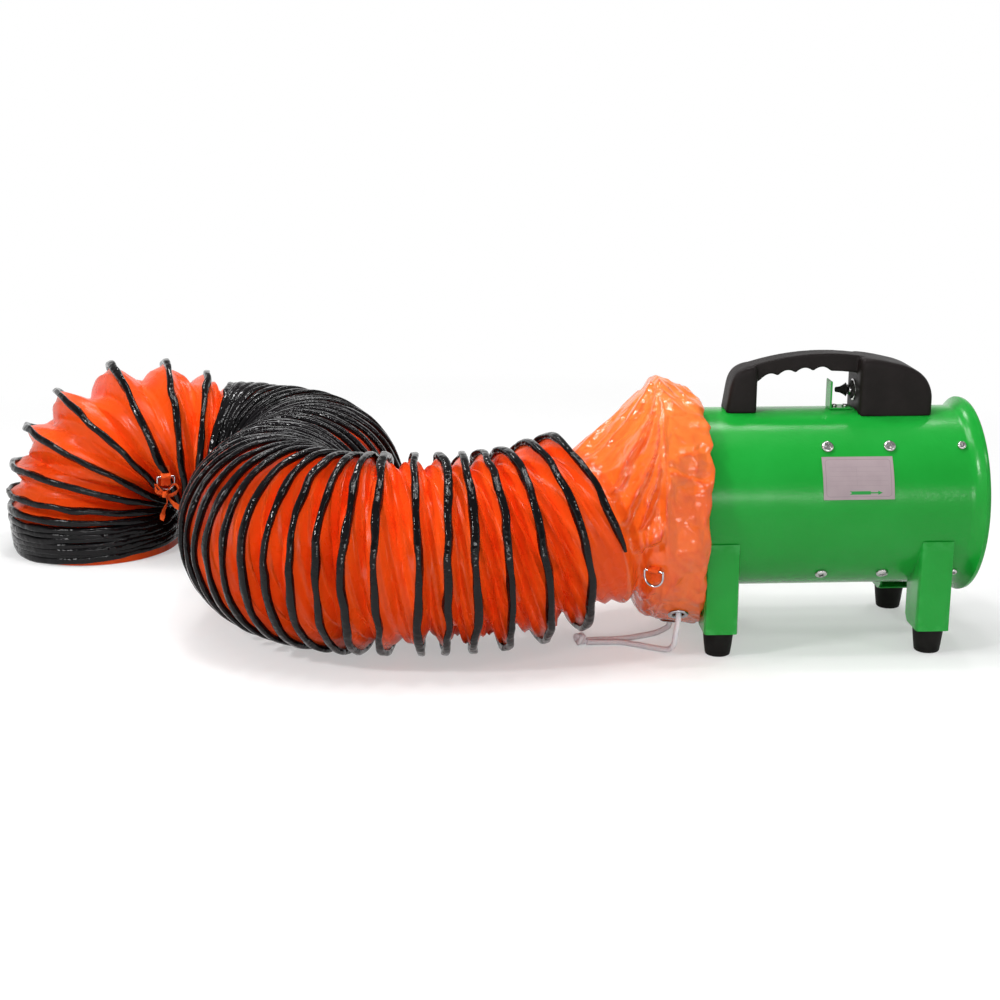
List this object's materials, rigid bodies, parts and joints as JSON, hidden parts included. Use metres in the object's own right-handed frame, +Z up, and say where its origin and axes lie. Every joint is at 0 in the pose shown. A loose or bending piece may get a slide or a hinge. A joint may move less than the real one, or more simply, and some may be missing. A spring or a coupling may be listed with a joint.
{
  "type": "portable axial ventilator",
  "caption": "Portable axial ventilator: a flared drum casing on rubber feet with a carrying handle and toggle switch, and a strip-wound fabric duct drawn over one end.",
  "frame": {"origin": "on the floor under the middle of the casing", "axes": "+X along the fan's axis towards its open end, +Z up, -Y towards the side with the rating plate"},
  "size_m": [1.1667, 0.6774, 0.3247],
  "materials": {
    "green_paint": "gloss",
    "black_plastic": "satin",
    "black_rubber": "matte",
    "zinc_steel": "satin",
    "core_steel": "matte",
    "aluminium": "satin",
    "orange_fabric": "satin",
    "white_cord": "matte",
    "ring_chrome": "polished"
  },
  "bodies": {
    "fan": {"casing_tube": "green_paint", "guard_open": "zinc_steel", "guard_duct": "zinc_steel", "leg_duct_front": "green_paint", "leg_duct_rear": "green_paint", "leg_open_front": "green_paint", "leg_open_rear": "green_paint", "foot_duct_front": "black_rubber", "foot_duct_rear": "black_rubber", "foot_open_front": "black_rubber", "foot_open_rear": "black_rubber", "handle_shell": "black_plastic", "handle_screw_post": "zinc_steel", "handle_screw_box": "zinc_steel", "switch_body": "black_plastic", "switch_nut": "zinc_steel", "switch_shield": "green_paint", "shield_screw_1": "zinc_steel", "shield_screw_2": "zinc_steel", "run_capacitor": "aluminium", "terminal_block": "black_plastic", "cable_gland": "black_plastic", "rating_plate": "aluminium", "motor_shell": "aluminium", "motor_cap_open": "aluminium", "motor_cap_duct": "aluminium", "stator_core": "core_steel", "bearing_open": "zinc_steel", "bearing_duct": "zinc_steel", "motor_bracket_1": "zinc_steel", "motor_bracket_2": "zinc_steel", "motor_bracket_3": "zinc_steel", "motor_bracket_4": "zinc_steel", "bracket_screw_duct_1": "zinc_steel", "bracket_screw_open_1": "zinc_steel", "bracket_screw_duct_2": "zinc_steel", "bracket_screw_open_2": "zinc_steel", "bracket_screw_duct_3": "zinc_steel", "bracket_screw_open_3": "zinc_steel", "bracket_screw_duct_4": "zinc_steel", "bracket_screw_open_4": "zinc_steel", "guard_screw_1": "zinc_steel", "guard_screw_2": "zinc_steel", "guard_screw_3": "zinc_steel", "guard_screw_4": "zinc_steel"},
    "rotor": {"motor_shaft": "zinc_steel", "rotor_core": "core_steel", "impeller": "black_plastic", "impeller_nut": "zinc_steel"},
    "toggle": {"toggle_lever": "black_rubber"},
    "duct": {"duct_hose": "orange_fabric", "duct_sleeve": "orange_fabric", "sleeve_eyelet_1": "ring_chrome", "sleeve_eyelet_2": "ring_chrome", "drawcord_1": "white_cord", "drawcord_2": "white_cord", "drawcord_knot": "white_cord", "duct_tie_strap": "orange_fabric"},
    "sleeve_ring": {"d_ring_sleeve": "ring_chrome"},
    "strap_ring": {"d_ring_strap": "ring_chrome"}
  },
  "joints": [
    {"name": "rotor_spin", "type": "hinge", "parent": "fan", "child": "rotor", "pos_m": [0, 0, 0.16], "axis": [1, 0, 0], "continuous": true},
    {"name": "toggle_throw", "type": "hinge", "parent": "fan", "child": "toggle", "pos_m": [0.0375, 0, 0.28052], "axis": [0, 1, 0], "range_deg": [-12, 12]},
    {"name": "duct_pull", "type": "slide", "parent": "fan", "child": "duct", "axis": [-1, 0, 0], "range_m": [0, 0.08]},
    {"name": "sleeve_ring_swing", "type": "hinge", "parent": "duct", "child": "sleeve_ring", "pos_m": [-0.19633, -0.11794, 0.10861], "axis": [-0.8122, 0.5834, 0], "range_deg": [0, 110]},
    {"name": "strap_ring_swing", "type": "hinge", "parent": "duct", "child": "strap_ring", "pos_m": [-0.76894, 0.28106, 0.12066], "axis": [-0.9656, -0.2599, 0], "range_deg": [0, 110]}
  ]
}
